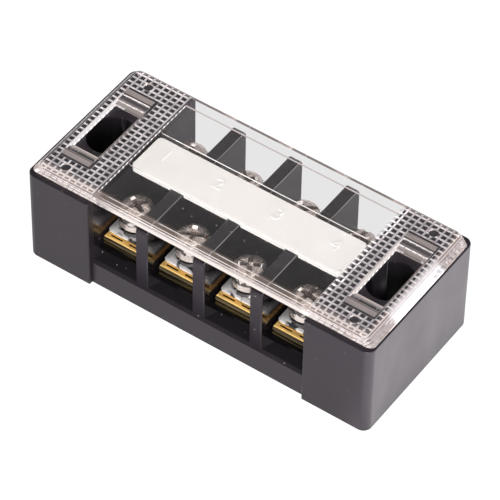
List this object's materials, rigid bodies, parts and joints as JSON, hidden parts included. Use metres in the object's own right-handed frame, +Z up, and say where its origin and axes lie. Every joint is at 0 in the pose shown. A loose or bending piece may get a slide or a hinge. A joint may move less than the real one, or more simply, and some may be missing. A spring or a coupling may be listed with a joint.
{
  "type": "barrier terminal strip",
  "caption": "Black barrier terminal strip: brass bars, pan-head screws with split washers and clamp plates, a white marker strip and a clear clip-on cover with windows over its mounting slots.",
  "frame": {"origin": "centre of the housing's underside", "axes": "+X along the row of terminals, +Z up through the cover, -Y towards the side that the picture shows"},
  "size_m": [0.072, 0.032, 0.022],
  "materials": {
    "housing": "moulded, semi-gloss black",
    "cover": "clear, with a grid of small pyramids over its ends",
    "marker_strip": "moulded white",
    "terminal_bar": "bright, rolled",
    "clamp_plate": "nickel-plated",
    "spring_washer": "zinc-plated",
    "screw": "nickel-plated"
  },
  "bodies": {
    "housing": {"housing": "housing", "marker_strip": "marker_strip", "terminal_bar_1": "terminal_bar", "terminal_bar_2": "terminal_bar", "terminal_bar_3": "terminal_bar", "terminal_bar_4": "terminal_bar"},
    "cover": {"cover": "cover"},
    "clamp_front_1": {"clamp_plate_front_1": "clamp_plate", "spring_washer_front_1": "spring_washer"},
    "screw_front_1": {"screw_front_1": "screw"},
    "clamp_front_2": {"clamp_plate_front_2": "clamp_plate", "spring_washer_front_2": "spring_washer"},
    "screw_front_2": {"screw_front_2": "screw"},
    "clamp_front_3": {"clamp_plate_front_3": "clamp_plate", "spring_washer_front_3": "spring_washer"},
    "screw_front_3": {"screw_front_3": "screw"},
    "clamp_front_4": {"clamp_plate_front_4": "clamp_plate", "spring_washer_front_4": "spring_washer"},
    "screw_front_4": {"screw_front_4": "screw"},
    "clamp_back_1": {"clamp_plate_back_1": "clamp_plate", "spring_washer_back_1": "spring_washer"},
    "screw_back_1": {"screw_back_1": "screw"},
    "clamp_back_2": {"clamp_plate_back_2": "clamp_plate", "spring_washer_back_2": "spring_washer"},
    "screw_back_2": {"screw_back_2": "screw"},
    "clamp_back_3": {"clamp_plate_back_3": "clamp_plate", "spring_washer_back_3": "spring_washer"},
    "screw_back_3": {"screw_back_3": "screw"},
    "clamp_back_4": {"clamp_plate_back_4": "clamp_plate", "spring_washer_back_4": "spring_washer"},
    "screw_back_4": {"screw_back_4": "screw"}
  },
  "joints": [
    {"name": "cover_lift", "type": "slide", "parent": "housing", "child": "cover", "axis": [0, 0, 1], "range_m": [0, 0.03]},
    {"name": "clamp_front_1_lift", "type": "slide", "parent": "housing", "child": "clamp_front_1", "axis": [0, 0, 1], "range_m": [-0.00068, 0.0035]},
    {"name": "screw_front_1_turn", "type": "hinge", "parent": "clamp_front_1", "child": "screw_front_1", "pos_m": [-0.018, -0.0079, 0.009], "axis": [0, 0, 1], "range_deg": [-408.5, 2100.5]},
    {"name": "clamp_front_2_lift", "type": "slide", "parent": "housing", "child": "clamp_front_2", "axis": [0, 0, 1], "range_m": [-0.00068, 0.0035]},
    {"name": "screw_front_2_turn", "type": "hinge", "parent": "clamp_front_2", "child": "screw_front_2", "pos_m": [-0.006, -0.0079, 0.009], "axis": [0, 0, 1], "range_deg": [-408.5, 2100.5]},
    {"name": "clamp_front_3_lift", "type": "slide", "parent": "housing", "child": "clamp_front_3", "axis": [0, 0, 1], "range_m": [-0.00068, 0.0035]},
    {"name": "screw_front_3_turn", "type": "hinge", "parent": "clamp_front_3", "child": "screw_front_3", "pos_m": [0.006, -0.0079, 0.009], "axis": [0, 0, 1], "range_deg": [-408.5, 2100.5]},
    {"name": "clamp_front_4_lift", "type": "slide", "parent": "housing", "child": "clamp_front_4", "axis": [0, 0, 1], "range_m": [-0.00068, 0.0035]},
    {"name": "screw_front_4_turn", "type": "hinge", "parent": "clamp_front_4", "child": "screw_front_4", "pos_m": [0.018, -0.0079, 0.009], "axis": [0, 0, 1], "range_deg": [-408.5, 2100.5]},
    {"name": "clamp_back_1_lift", "type": "slide", "parent": "housing", "child": "clamp_back_1", "axis": [0, 0, 1], "range_m": [-0.00068, 0.0035]},
    {"name": "screw_back_1_turn", "type": "hinge", "parent": "clamp_back_1", "child": "screw_back_1", "pos_m": [-0.018, 0.0079, 0.009], "axis": [0, 0, 1], "range_deg": [-408.5, 2100.5]},
    {"name": "clamp_back_2_lift", "type": "slide", "parent": "housing", "child": "clamp_back_2", "axis": [0, 0, 1], "range_m": [-0.00068, 0.0035]},
    {"name": "screw_back_2_turn", "type": "hinge", "parent": "clamp_back_2", "child": "screw_back_2", "pos_m": [-0.006, 0.0079, 0.009], "axis": [0, 0, 1], "range_deg": [-408.5, 2100.5]},
    {"name": "clamp_back_3_lift", "type": "slide", "parent": "housing", "child": "clamp_back_3", "axis": [0, 0, 1], "range_m": [-0.00068, 0.0035]},
    {"name": "screw_back_3_turn", "type": "hinge", "parent": "clamp_back_3", "child": "screw_back_3", "pos_m": [0.006, 0.0079, 0.009], "axis": [0, 0, 1], "range_deg": [-408.5, 2100.5]},
    {"name": "clamp_back_4_lift", "type": "slide", "parent": "housing", "child": "clamp_back_4", "axis": [0, 0, 1], "range_m": [-0.00068, 0.0035]},
    {"name": "screw_back_4_turn", "type": "hinge", "parent": "clamp_back_4", "child": "screw_back_4", "pos_m": [0.018, 0.0079, 0.009], "axis": [0, 0, 1], "range_deg": [-408.5, 2100.5]}
  ],
  "couplings": [
    {"joint": "screw_front_1_turn", "follows": "clamp_front_1_lift", "rad_per_m": 10472},
    {"joint": "screw_front_2_turn", "follows": "clamp_front_2_lift", "rad_per_m": 10472},
    {"joint": "screw_front_3_turn", "follows": "clamp_front_3_lift", "rad_per_m": 10472},
    {"joint": "screw_front_4_turn", "follows": "clamp_front_4_lift", "rad_per_m": 10472},
    {"joint": "screw_back_1_turn", "follows": "clamp_back_1_lift", "rad_per_m": 10472},
    {"joint": "screw_back_2_turn", "follows": "clamp_back_2_lift", "rad_per_m": 10472},
    {"joint": "screw_back_3_turn", "follows": "clamp_back_3_lift", "rad_per_m": 10472},
    {"joint": "screw_back_4_turn", "follows": "clamp_back_4_lift", "rad_per_m": 10472}
  ]
}
